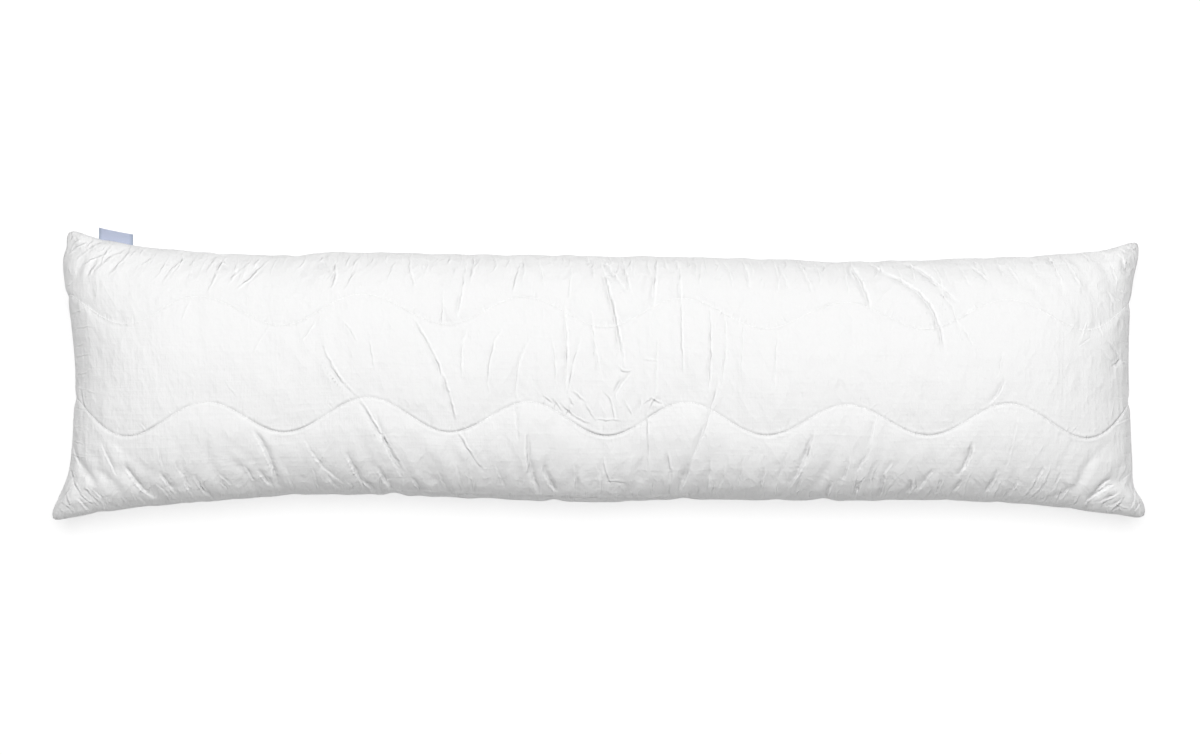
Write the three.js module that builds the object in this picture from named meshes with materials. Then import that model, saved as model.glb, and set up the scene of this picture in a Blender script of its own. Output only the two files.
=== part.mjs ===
// A quilted body pillow lying on its back, and the woven label sewn into its seam. Millimetres, +Z up.
// Two cloth panels of CUT_LENGTH by CUT_WIDTH are sewn together round their edge and filled. The filling crowns
// them, which draws the sides in between the corners, and two wavy quilting lines make channels along each panel.
// A place on a panel is given by u, from -1 at the left end to 1 at the right, and t, from -1 at the near side to
// 1 at the far side: the share of the cut panel's half length and half width.
import * as THREE from "three";
import { mergeVertices } from "three/addons/utils/BufferGeometryUtils.js";

const CUT_LENGTH = 1450;
const CUT_WIDTH = 400;
const HALF_LENGTH = CUT_LENGTH / 2;
const HALF_WIDTH = CUT_WIDTH / 2;

// The seam round the filled pillow in plan, one table a side, up to corners that are then rounded off.
const FAR_SEAM = [
  { x: -698, y: 193 },
  { x: -662, y: 181 },
  { x: -606, y: 169 },
  { x: -530, y: 161 },
  { x: -430, y: 155 },
  { x: -345, y: 159 },
  { x: -180, y: 157 },
  { x: 0, y: 155 },
  { x: 190, y: 152 },
  { x: 325, y: 147 },
  { x: 456, y: 151 },
  { x: 587, y: 156 },
  { x: 660, y: 163 },
  { x: 711, y: 179 },
];
const NEAR_SEAM = [
  { x: -721, y: -192 },
  { x: -661, y: -181 },
  { x: -609, y: -173 },
  { x: -531, y: -166 },
  { x: -388, y: -156 },
  { x: -297, y: -155 },
  { x: -193, y: -159 },
  { x: -11, y: -165 },
  { x: 119, y: -162 },
  { x: 301, y: -163 },
  { x: 457, y: -163 },
  { x: 587, y: -170 },
  { x: 660, y: -180 },
  { x: 720, y: -190 },
];
const LEFT_SEAM = [
  { x: -721, y: -192 },
  { x: -705, y: -161 },
  { x: -691, y: -129 },
  { x: -686, y: -97 },
  { x: -683, y: -48 },
  { x: -681, y: 2 },
  { x: -688, y: 78 },
  { x: -695, y: 117 },
  { x: -698, y: 152 },
  { x: -694, y: 167 },
  { x: -698, y: 193 },
];
const RIGHT_SEAM = [
  { x: 720, y: -190 },
  { x: 709, y: -163 },
  { x: 698, y: -146 },
  { x: 695, y: -110 },
  { x: 692, y: -52 },
  { x: 690, y: 10 },
  { x: 692, y: 80 },
  { x: 697, y: 124 },
  { x: 704, y: 152 },
  { x: 706, y: 166 },
  { x: 711, y: 179 },
];

const CORNER_ROUND = 22; // cloth from a corner over which the seam rounds it off

// How far the upper panel crowns above the seam, along the pillow: fullest in each half, slacker where it folds.
const CROWN = [
  { u: -1, rise: 84 },
  { u: -0.75, rise: 87 },
  { u: -0.4, rise: 91 },
  { u: 0, rise: 84 },
  { u: 0.42, rise: 92 },
  { u: 0.75, rise: 88 },
  { u: 1, rise: 84 },
];
const SEAM_HEIGHT = 72; // of the side seams, above what the pillow lies on
const END_DROP = 6; // how much lower the end seams lie midway
const END_DROP_POWER = 6; // higher keeps that drop closer to the ends
const CORNER_DROP = 22; // how much lower again the corners hang
const CORNER_DROP_POWER = 12;
const BELLY = 98; // how far the lower panel would hang below the seam if nothing carried it
const REST_BLEND = 7; // half the height over which the lower panel rounds into its flat rest
const PRESSED_FLAT = 1; // cloth that would lie less than this above the flat rest is part of it
const END_ROLL = 215; // cloth from an end seam to the crown's full height
const END_ROLL_POWER = 0.74;
const END_TAKE_UP = 32; // cloth that each end uses up in its rise
const END_TAKE_UP_LENGTH = 38;
const MIDDLE_GATHER = 14; // cloth taken up by the crosswise folds round the middle
const MIDDLE_GATHER_LENGTH = 180;
const SIDE_FLATNESS = 0.25; // 0 keeps the cloth even in plan; this draws it steeply down to the side seams
const SIDE_POWER = 5; // higher keeps that steepness closer to the side seams
const SEAM_HOLD_POWER = 4; // higher keeps what the side seams do to the cloth beside them closer to them
const END_HOLD_POWER = 8; // the same at the end seams

// The quilting: lines along the panel, at a place across the cut width, with their swing to each side.
const QUILT_LINES = [
  { v: -49, swing: 21 },
  { v: 86.5, swing: 19.5 },
];
const WAVE_LENGTH = 207;
const WAVE_CREST = -96; // where along the panel one crest lies
const CHANNEL_DEPTH = 4;
const CHANNEL_REACH = 18; // from a line to where its channel ends

const FOLD_RIDGE = 0.5; // height of the low ridges beside a fold, as a share of the trough without them
const FOLD_RIDGE_WIDTH = 2; // how many times wider than the trough they spread
const FOLD_RUN_POWER = 0.7; // below 1 keeps a fold deep along most of its run
// The main folds of the upper panel in plan: each runs from its first point to its second, bowed to one side.
const FOLDS = [
  // Puckers along the far seam.
  { x0: -640, y0: 158, x1: -668, y1: 122, bow: 3, width: 10, depth: 2 },
  { x0: -596, y0: 158, x1: -640, y1: 118, bow: -5, width: 11, depth: 2 },
  { x0: -532, y0: 154, x1: -566, y1: 112, bow: -6, width: 12, depth: 2 },
  { x0: -470, y0: 152, x1: -512, y1: 92, bow: -8, width: 13, depth: 2.5 },
  { x0: -420, y0: 148, x1: -478, y1: 96, bow: -10, width: 13, depth: 2 },
  { x0: -336, y0: 150, x1: -356, y1: 92, bow: -4, width: 12, depth: 2.5 },
  { x0: -176, y0: 148, x1: -196, y1: 66, bow: -4, width: 11, depth: 2 },
  { x0: -2, y0: 150, x1: 12, y1: 104, bow: 0, width: 11, depth: 2 },
  { x0: 28, y0: 146, x1: 38, y1: 98, bow: 0, width: 12, depth: 3 },
  { x0: 68, y0: 138, x1: 70, y1: 84, bow: 0, width: 10, depth: 2 },
  { x0: 182, y0: 146, x1: 206, y1: 96, bow: -4, width: 12, depth: 2.5 },
  { x0: 322, y0: 142, x1: 346, y1: 98, bow: 0, width: 13, depth: 3.5 },
  { x0: 348, y0: 140, x1: 430, y1: 36, bow: 16, width: 14, depth: 3 },
  { x0: 392, y0: 142, x1: 466, y1: 78, bow: 4, width: 14, depth: 3 },
  { x0: 440, y0: 146, x1: 520, y1: 84, bow: 6, width: 13, depth: 2 },
  { x0: 630, y0: 158, x1: 652, y1: 128, bow: 0, width: 10, depth: 2 },
  { x0: 690, y0: 150, x1: 664, y1: 120, bow: 0, width: 11, depth: 2.5 },
  // Creases across the middle.
  { x0: -360, y0: 48, x1: -312, y1: -24, bow: 3, width: 12, depth: 2 },
  { x0: -238, y0: 72, x1: -160, y1: -112, bow: -6, width: 13, depth: 3 },
  { x0: -104, y0: 58, x1: -108, y1: -30, bow: -8, width: 12, depth: 2 },
  { x0: -44, y0: 86, x1: -41, y1: -18, bow: 2, width: 11, depth: 2.5 },
  { x0: 8, y0: 100, x1: 28, y1: 8, bow: 2, width: 12, depth: 3 },
  { x0: 60, y0: 20, x1: 56, y1: -30, bow: 4, width: 11, depth: 2 },
  { x0: 104, y0: 118, x1: 104, y1: -10, bow: 2, width: 11, depth: 2 },
  { x0: 164, y0: 56, x1: 150, y1: -20, bow: 2, width: 12, depth: 2.5 },
  { x0: 222, y0: 62, x1: 216, y1: -44, bow: 3, width: 11, depth: 2 },
  { x0: 510, y0: 0, x1: 494, y1: -38, bow: -5, width: 13, depth: 2.5 },
  // Puckers along the near seam.
  { x0: -612, y0: -112, x1: -570, y1: -158, bow: 3, width: 12, depth: 2.5 },
  { x0: -566, y0: -82, x1: -546, y1: -140, bow: 5, width: 12, depth: 2 },
  { x0: -520, y0: -132, x1: -494, y1: -160, bow: 2, width: 11, depth: 2.5 },
  { x0: -430, y0: -74, x1: -412, y1: -142, bow: 5, width: 12, depth: 3.5 },
  { x0: -378, y0: -82, x1: -328, y1: -134, bow: 6, width: 12, depth: 2.5 },
  { x0: -302, y0: -32, x1: -250, y1: -128, bow: 3, width: 14, depth: 3.5 },
  { x0: -318, y0: -104, x1: -304, y1: -134, bow: 2, width: 11, depth: 2.5 },
  { x0: -90, y0: -76, x1: -78, y1: -154, bow: 3, width: 12, depth: 2.5 },
  { x0: -68, y0: -116, x1: -52, y1: -154, bow: 1, width: 11, depth: 3 },
  { x0: 132, y0: -28, x1: 116, y1: -84, bow: -3, width: 12, depth: 2.5 },
  { x0: 118, y0: -118, x1: 107, y1: -152, bow: 0, width: 12, depth: 3 },
  { x0: 276, y0: -62, x1: 238, y1: -152, bow: -6, width: 13, depth: 3 },
  { x0: 356, y0: -56, x1: 340, y1: -94, bow: -3, width: 11, depth: 2 },
  { x0: 300, y0: -138, x1: 292, y1: -158, bow: 0, width: 10, depth: 3 },
  { x0: 366, y0: -126, x1: 362, y1: -158, bow: 0, width: 10, depth: 3 },
  { x0: 478, y0: -78, x1: 462, y1: -126, bow: -4, width: 12, depth: 2.5 },
  { x0: 450, y0: -130, x1: 424, y1: -158, bow: -2, width: 11, depth: 2 },
  { x0: 686, y0: -134, x1: 628, y1: -164, bow: -4, width: 11, depth: 3 },
  { x0: -690, y0: -168, x1: -650, y1: -172, bow: 2, width: 9, depth: 2 },
];

// The woven label: a folded band, its cut ends inside the far seam near the left corner.
const LABEL_FROM = -651; // along the pillow, from one selvedge to the other
const LABEL_TO = -606;
const LABEL_REACH = 14; // from the seam to its fold
const LABEL_LEAN = 0.03; // how far it leans along the pillow as it reaches out
const LABEL_THICKNESS = 1.4;
const LABEL_LIFT = 2; // how far its fold rises above the seam
const LABEL_COLUMNS = 8;
const GAP = 0.3; // between the label and the seam that holds it

// The mesh of a panel: columns along it, and the places across the cut width where its rows lie.
const COLUMNS = 100;
const COLUMN_CROWDING = 0.1; // draws the columns closer together towards the ends
const ROWS_OUTSIDE = 6; // from each side seam to the nearest channel
const ROWS_BETWEEN = 6; // from channel to channel
const ROW_BESIDE_LINE = 9; // from a quilting line to the row on either side of it
const EDGE_CROWDING = 1.15; // above 1 draws the outer rows closer to the seam
const SEAM_DIVISIONS = 600; // for measuring a seam's length
const SEARCH_STEPS = 40; // halvings in a search along a seam

const clamp = THREE.MathUtils.clamp;
const lerp = THREE.MathUtils.lerp;

function seamCurve(table) {
  const points = table.map((row) => new THREE.Vector3(row.x, row.y, 0));
  const curve = new THREE.CatmullRomCurve3(points, false, "centripetal");
  curve.arcLengthDivisions = SEAM_DIVISIONS;
  return curve;
}

const seam = {
  far: seamCurve(FAR_SEAM),
  near: seamCurve(NEAR_SEAM),
  left: seamCurve(LEFT_SEAM),
  right: seamCurve(RIGHT_SEAM),
};

// Where the cloth at u lies along the pillow in plan, from -1 to 1, on the line midway between the sides.
function alongInPlan(u) {
  const takeUp = (s) =>
    END_TAKE_UP * Math.exp((-HALF_LENGTH * (1 - s)) / END_TAKE_UP_LENGTH);
  const place = (s) =>
    s * HALF_LENGTH -
    takeUp(s) +
    takeUp(-s) -
    (MIDDLE_GATHER / 2) * Math.tanh((s * HALF_LENGTH) / MIDDLE_GATHER_LENGTH);
  return place(u) / place(1);
}

// Where the cloth at u and t lies across the pillow in plan, from -1 to 1.
function acrossInPlan(u, t) {
  const midway = (1 + SIDE_FLATNESS) * t - SIDE_FLATNESS * t ** SIDE_POWER;
  return lerp(midway, t, u ** END_HOLD_POWER);
}

// Moves the cloth near a corner onto a rounded one, as a square's corner is drawn in to a circle's.
function roundedCorner(u, t) {
  const near = (s, half) => Math.max(0, 1 - (half * (1 - Math.abs(s))) / CORNER_ROUND);
  const drawn = (p, q, half) => (CORNER_ROUND / half) * p * (1 - Math.sqrt(1 - q ** 2 / 2));
  const p = near(u, HALF_LENGTH);
  const q = near(t, HALF_WIDTH);
  return {
    u: u - Math.sign(u) * drawn(p, q, HALF_LENGTH),
    t: t - Math.sign(t) * drawn(q, p, HALF_WIDTH),
  };
}

// A point on the seam's own sheet, which spans the four seams, for the cloth at u and t.
function seamSheet(cutU, cutT) {
  const { u, t } = roundedCorner(cutU, cutT);
  const along = (lerp(alongInPlan(u), u, t ** SEAM_HOLD_POWER) + 1) / 2;
  const across = (acrossInPlan(u, t) + 1) / 2;
  const far = seam.far.getPointAt(clamp(along, 0, 1));
  const near = seam.near.getPointAt(clamp(along, 0, 1));
  const left = seam.left.getPointAt(clamp(across, 0, 1));
  const right = seam.right.getPointAt(clamp(across, 0, 1));
  const sides = near.lerp(far, across);
  const ends = left.lerp(right, along);
  const nearCorners = seam.near
    .getPoint(0)
    .lerp(seam.near.getPoint(1), along);
  const farCorners = seam.far.getPoint(0).lerp(seam.far.getPoint(1), along);
  const corners = nearCorners.lerp(farCorners, across);
  const sheet = sides.add(ends).sub(corners);
  sheet.z = seamHeight(u, t);
  return sheet;
}

function seamHeight(u, t) {
  const atCorner = u ** CORNER_DROP_POWER * t ** SEAM_HOLD_POWER;
  return SEAM_HEIGHT - END_DROP * u ** END_DROP_POWER - CORNER_DROP * atCorner;
}

// The rise of the cloth away from the seam's sheet, as a share of the crown.
function fullness(u, t) {
  const roll = Math.min(1, (HALF_LENGTH * (1 - Math.abs(u))) / END_ROLL) ** END_ROLL_POWER;
  const fromEnd = Math.sin((roll * Math.PI) / 2);
  const fromSide = Math.sqrt(Math.max(0, 1 - acrossInPlan(u, t) ** 2));
  const both = fromEnd * fromSide;
  return both === 0 ? 0 : both / (fromEnd + fromSide - both);
}

function crownAt(u) {
  const next = CROWN.findIndex((row) => row.u >= u);
  if (next <= 0) return CROWN[0].rise;
  const a = CROWN[next - 1];
  const b = CROWN[next];
  return lerp(a.rise, b.rise, THREE.MathUtils.smoothstep(u, a.u, b.u));
}

// Rounds a height off into 0, which it meets for good at -REST_BLEND.
function restOn(z) {
  if (z >= REST_BLEND) return z;
  return Math.max(0, z + REST_BLEND) ** 2 / (4 * REST_BLEND);
}

function upperPanel(u, t) {
  const p = seamSheet(u, t);
  p.z += crownAt(u) * fullness(u, t);
  return p;
}

function lowerPanel(u, t) {
  const p = seamSheet(u, t);
  p.z = restOn(p.z - BELLY * fullness(u, t));
  return p;
}

function waveAt(u) {
  return Math.cos(((u * HALF_LENGTH - WAVE_CREST) / WAVE_LENGTH) * 2 * Math.PI);
}

// How deep the quilting draws the cloth in at u and v, where v is millimetres across the cut width.
function channelAt(u, v) {
  let deepest = 0;
  for (const line of QUILT_LINES) {
    const off = Math.abs(v - line.v - line.swing * waveAt(u)) / CHANNEL_REACH;
    deepest = Math.max(deepest, CHANNEL_DEPTH * Math.max(0, 1 - off) ** 2);
  }
  const fromEnd = HALF_LENGTH * (1 - Math.abs(u));
  return deepest * THREE.MathUtils.smoothstep(fromEnd, 0, CHANNEL_REACH);
}

// How deep the folds draw the cloth in at a point in plan: each has a trough, with a low ridge on either side.
function foldsAt(x, y) {
  let depth = 0;
  for (const fold of FOLDS) {
    const dx = fold.x1 - fold.x0;
    const dy = fold.y1 - fold.y0;
    const length = Math.hypot(dx, dy);
    const share = ((x - fold.x0) * dx + (y - fold.y0) * dy) / length ** 2;
    if (share <= 0 || share >= 1) continue;
    const side = ((y - fold.y0) * dx - (x - fold.x0) * dy) / length;
    const off = (side - fold.bow * 4 * share * (1 - share)) / fold.width;
    const ridges = FOLD_RIDGE * Math.exp(-((off / FOLD_RIDGE_WIDTH) ** 2));
    const trough = (Math.exp(-(off ** 2)) - ridges) / (1 - FOLD_RIDGE);
    depth += fold.depth * trough * Math.sin(Math.PI * share) ** FOLD_RUN_POWER;
  }
  return depth;
}

// The rows of a panel: each is a straight line at v, bent by its share of a quilting line's swing.
function panelRows() {
  const [nearLine, farLine] = QUILT_LINES;
  const rows = [];
  // The rows from one row to another, with the first and without the last.
  const fill = (from, to, count, crowding) => {
    for (let i = 0; i < count; i++) {
      const share = (i / count) ** crowding;
      rows.push({
        v: lerp(from.v, to.v, share),
        bend: lerp(from.bend, to.bend, share),
      });
    }
  };
  const beside = (line, side) => ({
    v: line.v + side * ROW_BESIDE_LINE,
    bend: line.swing,
  });
  const nearSeam = { v: -HALF_WIDTH, bend: 0 };
  const farSeam = { v: HALF_WIDTH, bend: 0 };
  fill(nearSeam, beside(nearLine, -1), ROWS_OUTSIDE, EDGE_CROWDING);
  fill(beside(nearLine, -1), beside(nearLine, 1), 2, 1);
  fill(beside(nearLine, 1), beside(farLine, -1), ROWS_BETWEEN, 1);
  fill(beside(farLine, -1), beside(farLine, 1), 2, 1);
  fill(beside(farLine, 1), farSeam, ROWS_OUTSIDE, 1 / EDGE_CROWDING);
  rows.push(farSeam);
  return rows;
}

// One closed grid of both panels, smooth, with each vertex's own u and v kept for the relief.
function pillowGeometry() {
  const rows = panelRows();
  const places = [];
  const points = [];
  const faces = [];
  const last = rows.length - 1;
  for (const panel of [upperPanel, lowerPanel]) {
    const first = points.length;
    for (let i = 0; i <= COLUMNS; i++) {
      const even = (2 * i) / COLUMNS - 1;
      const u = even + COLUMN_CROWDING * Math.sin(Math.PI * even) / Math.PI;
      rows.forEach((row) => {
        const v = clamp(row.v + row.bend * waveAt(u), -HALF_WIDTH, HALF_WIDTH);
        points.push(panel(u, v / HALF_WIDTH));
        places.push({ u, v, upper: panel === upperPanel });
      });
    }
    for (let i = 0; i < COLUMNS; i++) {
      for (let j = 0; j < last; j++) {
        const a = first + i * (last + 1) + j;
        const b = a + last + 1;
        const quad = panel === upperPanel ? [a, b, b + 1, a + 1] : [a, a + 1, b + 1, b];
        // Cut from the corner of the panel inwards where there is one, so that no triangle lies on the seam alone.
        const towardsCorner = (i === 0) === (j === 0);
        const [p, q, r, s] = towardsCorner ? quad : [...quad.slice(1), quad[0]];
        faces.push(p, q, r, p, r, s);
      }
    }
  }
  const smooth = new THREE.BufferGeometry().setFromPoints(points);
  smooth.setIndex(faces);
  smooth.computeVertexNormals();
  const normal = new THREE.Vector3();
  places.forEach((place, n) => {
    if (Math.abs(place.u) === 1 || Math.abs(place.v) === HALF_WIDTH) return;
    const p = points[n];
    normal.fromBufferAttribute(smooth.attributes.normal, n);
    const folds = place.upper ? foldsAt(p.x, p.y) : 0;
    p.addScaledVector(normal, -channelAt(place.u, place.v) - folds);
    if (p.z < PRESSED_FLAT) p.z = 0;
  });
  const closed = new THREE.BufferGeometry().setFromPoints(points);
  closed.setIndex(faces);
  return mergeVertices(closed, 1e-3);
}

function pillow() {
  const cover = new THREE.MeshStandardMaterial({
    color: 0xf4f4f3,
    roughness: 0.85,
    metalness: 0,
  });
  const mesh = new THREE.Mesh(pillowGeometry(), cover);
  mesh.name = "pillow";
  return mesh;
}

// Where along the far seam, from 0 to 1, it passes x.
function farSeamShareAt(x) {
  let low = 0;
  let high = 1;
  for (let i = 0; i < SEARCH_STEPS; i++) {
    const middle = (low + high) / 2;
    if (seam.far.getPointAt(middle).x < x) low = middle;
    else high = middle;
  }
  return low;
}

// The label's section is a flat band with a round fold, carried along the seam.
function labelGeometry() {
  const from = farSeamShareAt(LABEL_FROM);
  const to = farSeamShareAt(LABEL_TO);
  const outward = new THREE.Vector3(LABEL_LEAN, 1, 0).normalize();
  const half = LABEL_THICKNESS / 2;
  const section = [
    { out: GAP, up: -half },
    { out: LABEL_REACH / 2, up: -half },
    { out: LABEL_REACH - half, up: -half },
    { out: LABEL_REACH, up: 0 },
    { out: LABEL_REACH - half, up: half },
    { out: LABEL_REACH / 2, up: half },
    { out: GAP, up: half },
  ];
  const points = [];
  for (let i = 0; i <= LABEL_COLUMNS; i++) {
    const share = lerp(from, to, i / LABEL_COLUMNS);
    const base = seam.far.getPointAt(share);
    base.z = seamHeight(2 * share - 1, 1);
    for (const corner of section) {
      const p = base.clone().addScaledVector(outward, corner.out);
      p.z += corner.up + LABEL_LIFT * (corner.out / LABEL_REACH) ** 2;
      points.push(p);
    }
  }
  const faces = [];
  const n = section.length;
  for (let i = 0; i < LABEL_COLUMNS; i++) {
    for (let j = 0; j < n; j++) {
      const a = i * n + j;
      const b = i * n + ((j + 1) % n);
      faces.push(a, b, b + n, a, b + n, a + n);
    }
  }
  for (let j = 1; j < n - 1; j++) {
    const end = LABEL_COLUMNS * n;
    faces.push(0, j + 1, j, end, end + j, end + j + 1);
  }
  const geometry = new THREE.BufferGeometry().setFromPoints(points);
  geometry.setIndex(faces);
  return geometry;
}

function label() {
  const woven = new THREE.MeshStandardMaterial({
    color: 0xc3cbe0,
    roughness: 0.7,
    metalness: 0,
  });
  const mesh = new THREE.Mesh(labelGeometry(), woven);
  mesh.name = "label";
  return mesh;
}

// The origin is at the middle of the whole, on what the pillow lies on.
const bodyPillow = new THREE.Group();
bodyPillow.add(pillow(), label());
const extent = new THREE.Box3().setFromObject(bodyPillow);
const centre = extent.getCenter(new THREE.Vector3());
bodyPillow.position.set(-centre.x, -centre.y, -extent.min.z);

export default bodyPillow;
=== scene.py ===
import math
import bpy
import numpy as np
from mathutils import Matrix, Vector


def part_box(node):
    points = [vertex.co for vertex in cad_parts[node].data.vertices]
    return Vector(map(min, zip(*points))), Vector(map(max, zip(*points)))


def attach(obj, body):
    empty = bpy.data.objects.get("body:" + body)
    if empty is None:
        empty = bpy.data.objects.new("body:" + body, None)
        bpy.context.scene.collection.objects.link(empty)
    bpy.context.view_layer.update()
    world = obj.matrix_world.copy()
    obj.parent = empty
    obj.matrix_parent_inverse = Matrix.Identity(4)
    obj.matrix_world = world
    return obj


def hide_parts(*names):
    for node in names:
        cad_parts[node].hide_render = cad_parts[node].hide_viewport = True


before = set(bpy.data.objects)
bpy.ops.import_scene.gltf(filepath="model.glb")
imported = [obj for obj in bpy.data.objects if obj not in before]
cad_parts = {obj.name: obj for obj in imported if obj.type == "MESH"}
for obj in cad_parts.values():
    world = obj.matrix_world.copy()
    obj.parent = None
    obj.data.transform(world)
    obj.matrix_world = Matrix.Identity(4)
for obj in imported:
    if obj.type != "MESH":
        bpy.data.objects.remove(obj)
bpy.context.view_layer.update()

MM = 0.001

# --- The pillow's sizes ---

CUT_LENGTH = 1450.0
CUT_WIDTH = 400.0
HALF_LENGTH = CUT_LENGTH / 2
HALF_WIDTH = CUT_WIDTH / 2

# The seam round the filled pillow in plan: x, y.
FAR_SEAM = [
    (-698, 193), (-662, 181), (-606, 169), (-530, 161), (-430, 155), (-345, 159), (-180, 157),
    (0, 155), (190, 152), (325, 147), (456, 151), (587, 156), (660, 163), (711, 179),
]
NEAR_SEAM = [
    (-721, -192), (-661, -181), (-609, -173), (-531, -166), (-388, -156), (-297, -155), (-193, -159),
    (-11, -165), (119, -162), (301, -163), (457, -163), (587, -170), (660, -180), (720, -190),
]
LEFT_SEAM = [
    (-721, -192), (-705, -161), (-691, -129), (-686, -97), (-683, -48), (-681, 2), (-688, 78),
    (-695, 117), (-698, 152), (-694, 167), (-698, 193),
]
RIGHT_SEAM = [
    (720, -190), (709, -163), (698, -146), (695, -110), (692, -52), (690, 10), (692, 80),
    (697, 124), (704, 152), (706, 166), (711, 179),
]
CORNER_ROUND = 22  # cloth from a corner over which the seam rounds it off

# Dimples where the side seams pucker: x, depth, width, by side.
SEAM_DIMPLES = {
    -1: [(-393, 2.0, 9), (-266, 3.0, 12), (-57, 2.5, 10), (110, 3.0, 11), (292, 2.5, 9), (452, 1.5, 8)],
    1: [(-492, 1.6, 8), (-392, 2.0, 9), (-120, 1.2, 9), (8, 1.2, 8), (210, 1.5, 9), (560, 1.4, 8)],
}
LINE_PINCH = 3.0  # how far a quilting line draws in the end seam that it runs into
LINE_PINCH_WIDTH = 7
LINE_PINCH_REACH = 16

# How far the upper panel crowns above the seam: u, rise.
CROWN = [(-1, 84), (-0.75, 87), (-0.4, 91), (0, 84), (0.42, 92), (0.75, 88), (1, 84)]
SEAM_HEIGHT = 72
END_DROP = 6
END_DROP_POWER = 6
CORNER_DROP = 22
CORNER_POWER = 12
NEAR_DIP = 5  # how far the stuffing falls short beside the near seam
NEAR_DIP_AT = 20
NEAR_DIP_WIDTH = 15
NEAR_DIP_ENDS = (20, 120)  # from an end seam, where the dip starts and where it is whole
BELLY = 98
REST_BLEND = 7
END_ROLL = 192
END_ROLL_POWER = 0.74
END_TAKE_UP = 32
END_TAKE_UP_LENGTH = 38
MIDDLE_GATHER = 14
MIDDLE_GATHER_LENGTH = 180
SIDE_FLATNESS = 0.25
SIDE_POWER = 2.2  # how boxy the pillow is in section
SEAM_HOLD_POWER = 4
END_HOLD_POWER = 8

# The quilting lines: v across the cut width, swing to each side.
QUILT_LINES = [(-49, 21), (86.5, 19.5)]
WAVE_LENGTH = 207
WAVE_CREST = -96
CHANNEL_DEPTH = 1.2
CHANNEL_REACH = 6

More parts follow.
